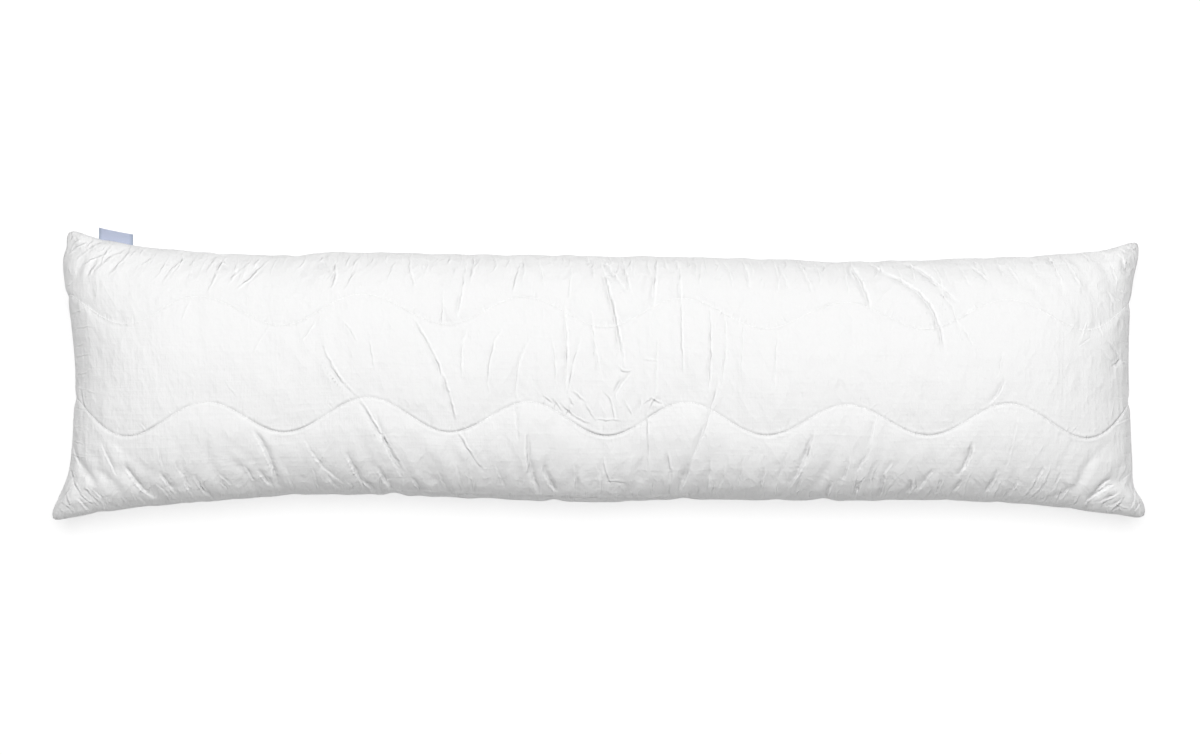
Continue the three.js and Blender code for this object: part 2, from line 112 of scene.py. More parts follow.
# The creases of the upper panel in plan: x0, y0, x1, y1, bow to one side, depth.
CREASES = [
    # Along the far seam.
    (-647, 153, -661, 127, 0, 1.3), (-613, 153, -632, 130, 0, 1), (-627, 162, -674, 139, -2, 0.6),
    (-574, 155, -591, 142, 0, 0.7), (-535, 152, -561, 120, -3, 1), (-489, 146, -504, 107, 1, 1.1),
    (-493, 148, -478, 136, 0, 0.5), (-450, 147, -480, 120, 0, 0.7), (-427, 151, -466, 110, 1, 1),
    (-344, 150, -346, 109, 5, 1.2), (-359, 147, -349, 138, 0, 0.8), (-310, 144, -327, 110, 0, 0.6),
    (-261, 152, -274, 120, 0, 0.5), (-172, 151, -183, 72, 1, 1.1), (-162, 152, -167, 117, 0, 0.6),
    (-201, 110, -202, 55, 0, 0.5), (-102, 147, -112, 107, 0, 0.6), (-36, 139, -40, 98, 0, 0.5),
    (-1, 151, 31, 9, 3, 1.5), (3, 151, 38, 103, -1, 1.3), (28, 152, 40, 103, 0, 1.1),
    (73, 147, 68, 87, 0, 1.2), (103, 147, 107, -4, -1, 0.9), (132, 147, 128, 117, 0, 0.5),
    (185, 147, 194, 110, 0, 0.7), (231, 144, 244, 108, 0, 0.5), (323, 144, 346, 83, 3, 1.6),
    (350, 143, 367, 131, 0, 0.8), (366, 131, 439, 25, 22, 1.7), (392, 144, 441, 103, 6, 1.3),
    (440, 104, 463, 49, 3, 0.7), (432, 118, 461, 90, 0, 0.9), (479, 140, 501, 120, 0, 0.8),
    (526, 142, 540, 118, 0, 0.5), (580, 153, 587, 140, 0, 0.8), (655, 109, 666, 90, 0, 0.6),
    (678, 152, 688, 133, -3, 1.6), (662, 144, 669, 118, 0, 0.5),
    # Across the corners.
    (-671, 178, -688, 164, -3, 0.7), (-663, 174, -692, 157, -2, 0.8), (-642, 174, -679, 149, -3, 0.85),
    (-684, 185, -690, 172, 0, 0.4), (-609, 165, -652, 134, -3, 0.8), (675, 164, 690, 155, 0, 0.56),
    (683, 168, 700, 156, 0, 0.64),
    (692, 168, 701, 161, 0, 0.4), (696, 147, 694, 129, 0, 0.56), (-687, -121, -679, -138, 0, 0.88),
    (-694, -150, -686, -176, 1, 0.5), (-700, -164, -682, -179, 0, 0.5), (-673, -152, -647, -170, -3, 0.45),
    (-666, -146, -644, -168, 0, 0.5), (-682, -135, -669, -155, -1, 0.64), (-704, -173, -695, -181, 0, 0.48),
    (696, -146, 690, -174, 2, 0.7), (668, -139, 630, -162, -1, 0.85), (676, -149, 640, -165, 2, 0.6),
    (683, -158, 652, -171, 2, 0.5), (699, -152, 709, -166, 0, 0.64), (668, -169, 688, -176, 0, 0.5),
    (660, -134, 642, -148, 0, 0.72), (704, -165, 696, -178, 0, 0.48),
    # Between the quilting lines.
    (-526, 96, -535, 70, 0, 0.5), (-423, 62, -447, 22, 0, 0.35), (-362, 72, -379, 44, 0, 0.5),
    (-354, 38, -309, -29, -5, 1), (-327, 69, -309, 42, 0, 0.4), (-294, 46, -287, 5, 0, 0.35),
    (-240, 74, -183, -66, 8, 1.2), (-183, -66, -146, -125, -3, 0.8), (-309, -29, -249, -127, 1, 1.2),
    (-170, 60, -175, -8, -4, 0.6), (-122, 66, -141, -27, -9, 0.6), (-89, 47, -106, -34, -7, 0.6),
    (-63, 53, -57, -21, 3, 0.5), (-45, 90, -44, -21, 2, 1), (-24, 48, -41, -27, -2, 0.6),
    (-11, 83, 3, -8, -2, 0.6), (24, 12, 42, 4, -5, 0.9), (42, 5, 18, -35, -5, 0.7),
    (73, 48, 73, -35, 0, 0.5), (57, 18, 77, 17, 0, 0.5), (140, 92, 138, -27, 3, 0.7),
    (158, 84, 153, -26, 5, 0.5), (185, 74, 181, -1, 0, 0.4), (227, 58, 223, -20, 0, 0.35),
    (466, 72, 483, 86, 0, 0.5), (463, 62, 479, 35, 0, 0.5), (517, -5, 499, -36, 2, 1.1),
    (515, 30, 508, -4, 0, 0.4), (-479, -8, -465, -27, 0, 0.35), (-519, -21, -518, -34, 0, 0.4),
    (655, 43, 675, 18, 1, 0.7), (661, 9, 677, 23, 0, 0.7), (634, 49, 616, 38, 0, 0.5),
    (649, 30, 668, 4, 0, 0.5), (-681, 22, -675, -4, 0, 0.7), (-671, -18, -664, -42, 0, 0.6),
    (-684, 58, -679, 38, 0, 0.6), (-50, -35, -11, -64, -4, 0.6), (-18, -38, -3, -62, 0, 0.6),
    (6, -22, 16, -65, 6, 0.7), (31, -31, 42, -53, 0, 0.6), (54, -27, 49, -49, 0, 0.6),
    (64, -30, 81, -38, 0, 0.7), (-34, -22, -19, -35, 0, 0.7), (-5, -58, 28, -60, 0, 0.5),
    (626, 69, 619, 51, 0, 0.5), (642, 69, 647, 49, 0, 0.5),
    (-72, -28, -59, -37, 0, 0.6), (-61, -30, -46, -48, 0, 0.7), (-41, -28, -31, -41, 0, 0.6),
    (-35, -37, -41, -54, 0, 0.6), (58, -39, 68, -31, 0, 0.5), (66, -41, 75, -29, 0, 0.6),
    # Along the near seam.
    (-666, -121, -681, -90, 2, 0.9), (-618, -133, -639, -86, 0, 0.6), (-573, -159, -610, -112, 3, 1.6),
    (-543, -151, -562, -124, 2, 1.4), (-558, -121, -564, -90, 0, 0.6), (-525, -144, -544, -109, 0, 0.6),
    (-497, -160, -519, -129, 3, 1), (-471, -142, -489, -124, 0, 0.5), (-413, -144, -440, -70, -5, 1.9),
    (-422, -142, -436, -121, 0, 1.6), (-443, -136, -454, -116, 0, 0.7), (-326, -140, -375, -81, 6, 0.9),
    (-302, -142, -323, -99, 0, 1.6), (-287, -151, -302, -135, 0, 1.5), (-335, -147, -349, -129, 0, 0.8),
    (-392, -150, -400, -118, 0, 0.7), (-248, -138, -284, -49, 3, 0.9), (-267, -148, -284, -116, 0, 1.5),
    (-226, -151, -240, -131, 0, 1.4), (-193, -152, -206, -121, 0, 0.6), (-162, -155, -167, -124, 0, 0.5),
    (-118, -150, -132, -113, 0, 0.5), (-103, -87, -105, -32, 0, 0.6), (-75, -153, -89, -73, 6, 1.8),
    (-53, -151, -70, -116, 2, 1.8), (-28, -153, -28, -116, 0, 0.9), (5, -105, 16, -142, -3, 0.7),
    (10, -138, 36, -139, 0, 0.5), (60, -47, 63, -118, 0, 0.6), (86, -99, 94, -138, 0, 1.4),
    (116, -114, 102, -153, 0, 1.9), (142, -109, 138, -151, 0, 0.9), (152, 0, 114, -118, 4, 0.85),
    (161, -116, 155, -147, 0, 0.7), (185, -105, 177, -150, 0, 0.6), (213, -118, 206, -152, 0, 0.9),
    (241, -100, 231, -134, 0, 0.6), (262, -124, 253, -155, 0, 0.9), (274, -70, 242, -148, 4, 1.3),
    (300, -136, 293, -157, 0, 1.5), (320, -105, 313, -138, 0, 1), (336, -136, 330, -157, 0, 1.4),
    (354, -47, 345, -92, 0, 0.7), (348, -92, 331, -124, 0, 0.9), (366, -127, 362, -159, 0, 1.7),
    (376, -110, 365, -127, 0, 0.9), (402, -135, 398, -157, 0, 1.4), (428, -122, 410, -151, 0, 1),
    (441, -134, 435, -155, 0, 0.8), (479, -86, 461, -129, 3, 1.6), (467, -135, 456, -153, 0, 1.1),
    (513, -122, 495, -157, 1, 1.1), (536, -51, 521, -124, 0, 0.5), (571, -118, 560, -142, 0, 0.8),
    (540, -134, 530, -155, 0, 0.8), (595, -124, 583, -152, 0, 0.7), (605, -144, 595, -162, 0, 0.8),
    # Where the cover rolls under beside the near seam.
    (-290, -151, -100, -157, 0, 1.0), (-112, -157, 42, -161, 0, 1.2), (30, -161, 136, -157, 0, 0.9),
]

# The cover's mesh before it is subdivided once.
COLUMNS = 240
ROWS_NEAR = 26  # from the near seam to the first quilting line
ROWS_BETWEEN = 24
ROWS_FAR = 18  # from the second line to the far seam
ROWS = ROWS_NEAR + ROWS_BETWEEN + ROWS_FAR
LOWER_ROWS = ROWS // 2
LOWER_ROWS_EVEN = 60  # from an end seam, where the lower rows have become even
FINE_STEPS = 401  # points that a column's arc is measured on

# The cloth simulation. The cover starts longer than it ends, by the cloth that the seams gather up.
GATHER = 0.003  # share of the length gathered between the quilting lines
SEAM_GATHER = 0.008  # and at the side seams
GATHER_SPREAD = 0.8  # how unevenly the seams are gathered
GATHER_CELL = 45  # from one gathered spot to the next
GATHER_ENDS = 765  # x beyond the pillow's ends, where the gathering starts and stops
GATHER_STEP = 5.0
END_GATHER = 0.015  # share of the width gathered at the end seams
END_GATHER_LENGTH = 70
MIDDLE_EXTRA = 0.015  # share more at the middle
MIDDLE_EXTRA_LENGTH = 150
DRAW_IN_FRAMES = 8
SETTLE_FRAMES = 6
PRESSURE = 45.0
VERTEX_MASS = 0.001
STRETCH = 40.0
SHEAR = 5.0
BENDING = 0.01
DAMPING = 1.0
CAP = 24.0  # how far a point may move
SETTLED_SHARE = 0.65  # share of the simulated movement that is kept
SEED_DEPTH = 0.5  # how deep a crease is before the simulation, as a share of its depth
SEED_WIDTH = 7.0
SEED_BUMPS = 0.6  # how uneven the cloth is before it
LINE_MIDDLE = 0.105  # t about midway between the quilting lines
LINE_MIDDLE_HALF = 0.33  # about as far as from there to either of them
SEAM_SHARPNESS = 0.6  # of the seam's edge when the mesh is subdivided

# --- Seams and form ---


def run_along(line):
    """The length of a line up to each of its points."""
    return np.concatenate([[0], np.cumsum(np.linalg.norm(np.diff(line, axis=0), axis=1))])


def catmull_rom(table, steps=60):
    """A centripetal curve through a table of points, as a fine line with its share of the length."""
    knots = np.array(table, float)
    knots = np.vstack([2 * knots[0] - knots[1], knots, 2 * knots[-1] - knots[-2]])
    share = np.linspace(0, 1, steps, endpoint=False)[:, None]
    pieces = []
    for k in range(1, len(knots) - 2):
        before, start, end, after = knots[k - 1 : k + 3]
        gap0 = np.linalg.norm(start - before) ** 0.5
        gap1 = np.linalg.norm(end - start) ** 0.5
        gap2 = np.linalg.norm(after - end) ** 0.5
        slope0 = (start - before) / gap0 - (end - before) / (gap0 + gap1) + (end - start) / gap1
        slope1 = (end - start) / gap1 - (after - start) / (gap1 + gap2) + (after - end) / gap2
        slope0, slope1 = slope0 * gap1, slope1 * gap1
        square = -3 * start + 3 * end - 2 * slope0 - slope1
        cube = 2 * start - 2 * end + slope0 + slope1
        pieces.append(start + slope0 * share + square * share**2 + cube * share**3)
    line = np.vstack(pieces + [knots[-2][None]])
    length = run_along(line)
    return line, length / length[-1]


SEAMS = {
    "far": catmull_rom(FAR_SEAM),
    "near": catmull_rom(NEAR_SEAM),
    "left": catmull_rom(LEFT_SEAM),
    "right": catmull_rom(RIGHT_SEAM),
}


def on_seam(name, share):
    line, at = SEAMS[name]
    share = np.clip(share, 0, 1)
    return np.stack([np.interp(share, at, line[:, 0]), np.interp(share, at, line[:, 1])], -1)


def smoothstep(x, low, high):
    s = np.clip((x - low) / (high - low), 0, 1)
    return s * s * (3 - 2 * s)


def to_end(u):
    """How far the cloth at u is from the nearer end seam."""
    return HALF_LENGTH * (1 - np.abs(u))


def phase_at(u):
    return (u * HALF_LENGTH - WAVE_CREST) / WAVE_LENGTH * 2 * np.pi


def wave_at(u):
    return np.cos(phase_at(u))


def line_t(line, u):
    """t of a quilting line at u."""
    v, swing = line
    return (v + swing * wave_at(u)) / HALF_WIDTH


def past_line(line, u, across):
    """How far beyond a quilting line the cloth lies, which is across from its middle at u."""
    v, swing = line
    return across - v - swing * wave_at(u)


def along_in_plan(u):
    """Where the cloth at u lies along the pillow in plan, from -1 to 1."""

    def take_up(s):
        return END_TAKE_UP * np.exp(-HALF_LENGTH * (1 - s) / END_TAKE_UP_LENGTH)

    def place(s):
        gather = MIDDLE_GATHER / 2 * np.tanh(s * HALF_LENGTH / MIDDLE_GATHER_LENGTH)
        return s * HALF_LENGTH - take_up(s) + take_up(-s) - gather

    return place(u) / place(1.0)


def across_in_plan(u, t):
    """Where the cloth lies across the pillow in plan: steep at the side seams, even along the end ones."""
    middle = (1 + SIDE_FLATNESS) * t - SIDE_FLATNESS * t**5
    return middle + (t - middle) * u**END_HOLD_POWER


def seam_height(u, t):
    corner = CORNER_DROP * u**CORNER_POWER * t**SEAM_HOLD_POWER
    return SEAM_HEIGHT - END_DROP * u**END_DROP_POWER - corner


def round_corners(u, t):
    """Moves the cloth near a corner onto a rounded one: a square's corner drawn in to a circle's."""
    p = np.clip(1 - to_end(u) / CORNER_ROUND, 0, 1)
    q = np.clip(1 - HALF_WIDTH * (1 - np.abs(t)) / CORNER_ROUND, 0, 1)
    drawn_u = CORNER_ROUND * (p - p * np.sqrt(1 - q * q / 2)) / HALF_LENGTH
    drawn_t = CORNER_ROUND * (q - q * np.sqrt(1 - p * p / 2)) / HALF_WIDTH
    return u - np.sign(u) * drawn_u, t - np.sign(t) * drawn_t


def seam_wear(u, t, plan):
    """Small dimples and scallops that the stitching leaves along the seams."""
    x, hold = plan[..., 0], np.abs(t) ** 14
    inward = SCALLOP * np.interp(x, scallop_x, scallop_far) * (t > 0)
    inward += SCALLOP * np.interp(x, scallop_x, scallop_near) * (t < 0)
    for side, dimples in SEAM_DIMPLES.items():
        for place, depth, width in dimples:
            inward += depth * np.exp(-(((x - place) / width) ** 2)) * (t * side > 0)
    plan[..., 1] -= np.sign(t) * inward * hold
    for line in QUILT_LINES:
        off = past_line(line, np.sign(u), t * HALF_WIDTH) / LINE_PINCH_WIDTH
        pinch = LINE_PINCH * np.exp(-(off**2)) * np.exp(-to_end(u) / LINE_PINCH_REACH)
        plan[..., 0] -= np.sign(u) * pinch
    return plan


def seam_sheet(u, t):
    """The sheet that spans the four seams."""
    cloth_u, cloth_t = u, t
    u, t = round_corners(u, t)
    at_seam = t**SEAM_HOLD_POWER
    along = ((along_in_plan(u) * (1 - at_seam) + u * at_seam) + 1) / 2
    across = (across_in_plan(u, t) + 1) / 2
    a, c = along[..., None], across[..., None]
    sides = on_seam("near", along) * (1 - c) + on_seam("far", along) * c
    ends = on_seam("left", across) * (1 - a) + on_seam("right", across) * a
    near = np.array(NEAR_SEAM[0]) * (1 - a) + np.array(NEAR_SEAM[-1]) * a
    far = np.array(FAR_SEAM[0]) * (1 - a) + np.array(FAR_SEAM[-1]) * a
    plan = seam_wear(cloth_u, cloth_t, sides + ends - (near * (1 - c) + far * c))
    return np.concatenate([plan, seam_height(u, t)[..., None]], -1)


def fullness(u, t):
    roll = np.clip(to_end(u) / END_ROLL, 0, 1) ** END_ROLL_POWER
    from_end = np.sin(roll * np.pi / 2)
    out = np.abs(across_in_plan(u, t)) ** SIDE_POWER
    from_side = np.clip(1 - out, 0, None) ** (1 / SIDE_POWER)
    return from_end * from_side / np.maximum(from_end + from_side - from_end * from_side, 1e-9)


def crown_at(u):
    places, rises = np.array(CROWN, float).T
    k = np.clip(np.searchsorted(places, u) - 1, 0, len(places) - 2)
    share = smoothstep(u, places[k], places[k + 1])
    return rises[k] + (rises[k + 1] - rises[k]) * share


def rest_on(z):
    """Rounds a height off into the floor."""
    return np.where(z >= REST_BLEND, z, np.clip(z + REST_BLEND, 0, None) ** 2 / (4 * REST_BLEND))


def upper_panel(u, t):
    p = seam_sheet(u, t)
    p[..., 2] += crown_at(u) * fullness(u, t)
    from_seam = (HALF_WIDTH * (1 + t) - NEAR_DIP_AT) / NEAR_DIP_WIDTH
    held = smoothstep(to_end(u), *NEAR_DIP_ENDS)
    p[..., 2] -= NEAR_DIP * np.exp(-(from_seam**2)) * held
    return p


def lower_panel(u, t):
    p = seam_sheet(u, t)
    p[..., 2] = rest_on(p[..., 2] - BELLY * fullness(u, t))
    return p


def channel_at(u, t):
    deepest = np.zeros_like(t)
    for line in QUILT_LINES:
        off = np.abs(past_line(line, u, t * HALF_WIDTH)) / CHANNEL_REACH
        deepest = np.maximum(deepest, CHANNEL_DEPTH * np.clip(1 - off, 0, None) ** 2)
    return deepest * smoothstep(to_end(u), 0, CHANNEL_REACH)


def beside_crease(row, x, y):
    """How far along a crease points in plan lie, as a share of its run, and how far to its side."""
    x0, y0, x1, y1, bow, _ = row
    dx, dy = x1 - x0, y1 - y0
    length = math.hypot(dx, dy)
    share = ((x - x0) * dx + (y - y0) * dy) / length**2
    side = ((y - y0) * dx - (x - x0) * dy) / length
    return share, side - bow * 4 * share * (1 - share)


def folds_at(x, y, rows, width):
    """How deep the rows draw the cloth in: each has a trough, with a low ridge on either side."""
    depth = np.zeros_like(x)
    for row in rows:
        share, off = beside_crease(row, x, y)
        near = (share > 0) & (share < 1) & (np.abs(off) < 5 * width)
        off = off[near] / width
        trough = 2 * np.exp(-(off**2)) - np.exp(-((off / 2) ** 2))
        depth[near] += row[5] * trough * np.sin(np.pi * share[near]) ** 0.6
    return depth


def normals_of(grid):
    n = np.cross(np.gradient(grid, axis=0), np.gradient(grid, axis=1))
    return n / (np.linalg.norm(n, axis=-1, keepdims=True) + 1e-9)


rng = np.random.default_rng(7)
SCALLOP = 0.7  # how far the seams wander between stitches
scallop_x = np.arange(-760, 761, 16)
scallop_far = rng.standard_normal(scallop_x.size)
scallop_near = rng.standard_normal(scallop_x.size)


def noise(u, t, cells_along, cells_across):
    """Smooth value noise over the cloth, with a spread of about 1."""
    lattice = rng.standard_normal((cells_along + 3, cells_across + 3))
    x, y = (u + 1) / 2 * cells_along, (t + 1) / 2 * cells_across
    i, j = np.floor(x).astype(int), np.floor(y).astype(int)
    fx, fy = x - i, y - j
    fx, fy = fx * fx * (3 - 2 * fx), fy * fy * (3 - 2 * fy)
    low = lattice[i, j] * (1 - fx) + lattice[i + 1, j] * fx
    high = lattice[i, j + 1] * (1 - fx) + lattice[i + 1, j + 1] * fx
    return low * (1 - fy) + high * fy


# --- The cover's mesh ---


def arc_lengths(panel, u, fine_t):
    grid = panel(*np.meshgrid(u, fine_t, indexing="ij"))
    steps = np.linalg.norm(np.diff(grid, axis=1), axis=-1)
    return np.concatenate([np.zeros((len(u), 1)), np.cumsum(steps, axis=1)], axis=1)


def upper_rows(u):
    """t of every row in every column: even along the arc, with a row on each quilting line."""
    fine = np.linspace(-1, 1, FINE_STEPS)
    arcs = arc_lengths(upper_panel, u, fine)
    rows = np.zeros((len(u), ROWS + 1))
    for i, (column, arc) in enumerate(zip(u, arcs)):
        near, far = np.interp([line_t(line, column) for line in QUILT_LINES], fine, arc)
        places = np.concatenate([
            np.linspace(0, near, ROWS_NEAR, endpoint=False),
            np.linspace(near, far, ROWS_BETWEEN, endpoint=False),
            np.linspace(far, arc[-1], ROWS_FAR + 1),
        ])
        rows[i] = np.interp(places, arc, fine)
    return rows


def lower_rows(u, upper_t):
    """t of the lower panel's rows, which meet every second row of the upper one at the ends."""
    fine = np.linspace(-1, 1, FINE_STEPS)
    arcs = arc_lengths(lower_panel, u, fine)
    rows = np.zeros((len(u), LOWER_ROWS + 1))
    for i, arc in enumerate(arcs):
        rows[i] = np.interp(np.linspace(0, arc[-1], LOWER_ROWS + 1), arc, fine)
    inward = smoothstep(to_end(u), 0, LOWER_ROWS_EVEN)[:, None]
    return rows * inward + upper_t[:, ::2] * (1 - inward)


columns = np.linspace(-1, 1, COLUMNS + 1)
top_t = upper_rows(columns)
base_t = lower_rows(columns, top_t)
top_u = np.repeat(columns[:, None], ROWS + 1, 1)
base_u = np.repeat(columns[:, None], LOWER_ROWS + 1, 1)
top = upper_panel(top_u, top_t)
base = lower_panel(base_u, base_t)

# Vertices are the whole upper grid, then the inside of the lower one, whose rim is the upper grid's.
top_index = np.arange(top_u.size).reshape(top_u.shape)
base_inside = np.zeros(base_u.shape, bool)
base_inside[1:-1, 1:-1] = True
base_index = np.zeros(base_u.shape, int)
base_index[:, 0] = top_index[:, 0]
base_index[:, -1] = top_index[:, -1]
base_index[0] = top_index[0, ::2]
base_index[-1] = top_index[-1, ::2]
base_index[base_inside] = top_index.size + np.arange(base_inside.sum())
seam_vertices = np.unique(np.concatenate([top_index[0], top_index[-1], top_index[:, 0], top_index[:, -1]]))
line_vertices = [top_index[:, ROWS_NEAR], top_index[:, ROWS_NEAR + ROWS_BETWEEN]]


def cover_faces():
    faces = []
    a, b = top_index[:-1, :-1], top_index[1:, :-1]
    c, d = top_index[1:, 1:], top_index[:-1, 1:]
    faces += np.stack([a, b, c, d], -1).reshape(-1, 4).tolist()
    g = base_index[1:-1]
    faces += np.stack([g[:-1, :-1], g[:-1, 1:], g[1:, 1:], g[1:, :-1]], -1).reshape(-1, 4).tolist()
    for j in range(LOWER_ROWS):
        left = [top_index[0, 2 * j], top_index[0, 2 * j + 1], top_index[0, 2 * j + 2]]
        right = [top_index[-1, 2 * j + 2], top_index[-1, 2 * j + 1], top_index[-1, 2 * j]]
        faces.append([int(n) for n in [*left, base_index[1, j + 1], base_index[1, j]]])
        faces.append([int(n) for n in [base_index[-2, j], base_index[-2, j + 1], *right]])
    return faces


def start_form():
    """The filled form with its channels and the first hint of its folds, as one list of points."""
    rim = np.minimum(1 - np.abs(top_t), (1 - np.abs(top_u)) * HALF_LENGTH / HALF_WIDTH)
    rows = np.arange(ROWS + 1)[None, :]
    off_lines = np.minimum(np.abs(rows - ROWS_NEAR), np.abs(rows - ROWS_NEAR - ROWS_BETWEEN))
    free = np.clip(rim * 8, 0, 1) * (1 - np.exp(-((off_lines / 2.5) ** 2)))
    hint = SEED_BUMPS * (noise(top_u, top_t, 110, 12) + 0.6 * noise(top_u, top_t, 50, 8)) * free
    hint -= SEED_DEPTH * folds_at(top[..., 0], top[..., 1], CREASES, SEED_WIDTH) * free
    upper = top + normals_of(top) * (hint - channel_at(top_u, top_t))[..., None]
    standing = np.clip(base[..., 2] / 12, 0, 1) * np.clip((1 - np.abs(base_t)) * 8, 0, 1)
    lower = base - normals_of(base) * (SEED_BUMPS * standing * noise(base_u, base_t, 110, 12))[..., None]
    lower[..., 2] = np.where(base[..., 2] < 1e-3, 0, np.maximum(lower[..., 2], 0))
    return np.vstack([upper.reshape(-1, 3), lower[base_inside]])


formed = start_form()
cloth_u = np.concatenate([top_u.ravel(), base_u[base_inside]])
cloth_t = np.concatenate([top_t.ravel(), base_t[base_inside]])
cloth_upper = np.concatenate([np.ones(top_u.size), np.zeros(base_inside.sum())])
cad_middle = (np.array(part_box("pillow")[0]) + np.array(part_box("pillow")[1])) / 2 / MM
shift = cad_middle - (top.min((0, 1)) + top.max((0, 1))) / 2
shift[2] = 0


def before_gathering(points):
    """The same form, longer by the cloth that is gathered up as the seams draw in."""
    x, y = points[:, 0], points[:, 1]
    at_side = smoothstep(np.abs(cloth_t - LINE_MIDDLE), LINE_MIDDLE_HALF, 1.05) ** 2
    at_end = np.exp(-to_end(cloth_u) / END_GATHER_LENGTH)
    extra = MIDDLE_EXTRA * MIDDLE_EXTRA_LENGTH * np.tanh(x / MIDDLE_EXTRA_LENGTH)
    spots = np.arange(-GATHER_ENDS, GATHER_ENDS + 1, GATHER_CELL)
    share = np.clip(1 + GATHER_SPREAD * rng.standard_normal((2, spots.size)), 0, 2.2)
    fine_x = np.arange(-GATHER_ENDS, GATHER_ENDS + 1, GATHER_STEP)
    taken = [np.cumsum(np.interp(fine_x, spots, row)) * GATHER_STEP for row in share]
    taken = [row - np.interp(0, fine_x, row) for row in taken]
    near, far = [np.interp(x, fine_x, row) for row in taken]
    gathered = np.where(cloth_t > LINE_MIDDLE, far, near)
    longer = points.copy()
    longer[:, 0] = x * (1 + GATHER) + SEAM_GATHER * gathered * at_side + extra
    longer[:, 1] = y * (1 + END_GATHER * at_end)
    return longer


def add_object(name, data):
    obj = bpy.data.objects.new(name, data)
    bpy.context.scene.collection.objects.link(obj)
    return obj


def mesh_object(name, points, faces):
    mesh = bpy.data.meshes.new(name)
    mesh.from_pydata(((points + shift) * MM).tolist(), [], faces)
    mesh.update()
    return add_object(name, mesh)


def read(items, name, width=3, kind=np.float32):
    """One property of all of a mesh's vertices, edges or corners, a row for each."""
    values = np.zeros(len(items) * width, kind)
    items.foreach_get(name, values)
    return values.reshape(-1, width)


def place_of(mesh):
    """Where each point of the cover lies in the cloth: along, across, and 1 on the upper panel."""
    return read(mesh.attributes["place"].data, "vector").astype(float)


def store_field(mesh, name, rows):
    field = mesh.attributes.new(name, "FLOAT_VECTOR", "POINT")
    field.data.foreach_set("vector", rows.astype(np.float32).ravel())


def lay_out(mesh, cloth):
    """Each point's place in the flat cloth, as the mesh's UV map in metres."""
    corner = read(mesh.loops, "vertex_index", 1, int)[:, 0]
    uv = mesh.uv_layers.new(name="cut")
    uv.data.foreach_set("uv", (cloth[corner] * MM).astype(np.float32).ravel())


def points_of(mesh):
    return read(mesh.vertices, "co").astype(float) / MM - shift


def settle(points, faces):
    """Blender's cloth draws the longer cover in to its seams under the filling's pressure."""
    obj = mesh_object("cloth_start", before_gathering(points), faces)
    obj.shape_key_add(name="cut")
    drawn = obj.shape_key_add(name="drawn_in")
    drawn.data.foreach_set("co", ((points + shift) * MM).astype(np.float32).ravel())
    held = obj.vertex_groups.new(name="held")
    on_floor = np.where(points[:, 2] < 1e-2)[0]
    for group in [seam_vertices, *line_vertices, on_floor]:
        held.add([int(n) for n in group], 1.0, "REPLACE")
    last = 1 + DRAW_IN_FRAMES + SETTLE_FRAMES
    for value, at in ((0, 1), (1, 1 + DRAW_IN_FRAMES)):
        drawn.value = value
        drawn.keyframe_insert("value", frame=at)
    action = obj.data.shape_keys.animation_data.action
    for key in action.fcurves[0].keyframe_points:
        key.interpolation = "LINEAR"
    cloth = obj.modifiers.new("cloth", "CLOTH")
    settings = cloth.settings
    settings.quality = 5
    settings.mass = VERTEX_MASS
    settings.tension_stiffness = settings.compression_stiffness = STRETCH
    settings.shear_stiffness = SHEAR
    settings.bending_stiffness = BENDING
    settings.tension_damping = settings.compression_damping = settings.shear_damping = DAMPING
    settings.bending_damping = 0.1
    settings.vertex_group_mass = held.name
    settings.use_pressure = True
    settings.uniform_pressure_force = PRESSURE
    settings.effector_weights.gravity = 0.0
    cloth.collision_settings.use_collision = False
    scene = bpy.context.scene
    scene.frame_start, scene.frame_end = 1, last
    cloth.point_cache.frame_start, cloth.point_cache.frame_end = 1, last
    for at in range(1, last + 1):
        scene.frame_set(at)
    settled = points_of(obj.evaluated_get(bpy.context.evaluated_depsgraph_get()).data)
    scene.frame_set(1)
    mesh = obj.data
    bpy.data.objects.remove(obj)
    bpy.data.meshes.remove(mesh)
    bpy.data.actions.remove(action)
    moved = settled - points
    far = np.linalg.norm(moved, axis=1, keepdims=True)
    settled = points + moved * np.minimum(SETTLED_SHARE, CAP / np.maximum(far, 1e-9))
    settled[:, 2] = np.maximum(settled[:, 2], 0)
    return settled


faces = cover_faces()
settled = settle(formed, faces)


# --- The finished cover ---

PUCKER_PITCH = (9, 24)  # from one pucker to the next along a side seam
PUCKER_REACH = (10, 46)
PUCKERED_LENGTH = 680  # how far from the middle the side seams pucker
END_PUCKER_PITCH = (12, 26)
END_PUCKER_REACH = (10, 34)
END_PUCKERS = (-125, 115)  # y of the first pucker at an end seam, and where they stop
SOFT_PITCH = (14, 36)
SOFT_REACH = (30, 95)
SOFT_LENGTH = 650
SOFT_WIDTH = 6.5
TICK_PITCH = (6, 15)
TICK_LENGTH = (5, 13)
CREASE_CHANNELS = 6
CREASE_SWATH = 9.0  # what a crease takes up in its channel on either side
CREASE_LEAST = 0.12
CREASE_WIDTH = 1.1
CREASE_WIDENING = 0.9
CREASE_END = 4  # how far beyond its ends a crease keeps its channel
SCULPTED_FROM = 0.55  # creases at least this deep are sculpted too
SCULPTED_GAIN = 1.1
SCULPTED_WIDTH = 4.2
RUMPLED = 0.3
LOWER_CHANNEL = 1.4  # how deep the quilting draws in the lower panel
LOWER_CHANNEL_WIDTH = 7
LOWER_LINE = 0.4  # how deep the lower panel's stitched groove is beside the upper one's
CRINKLE_REACH = 38.0


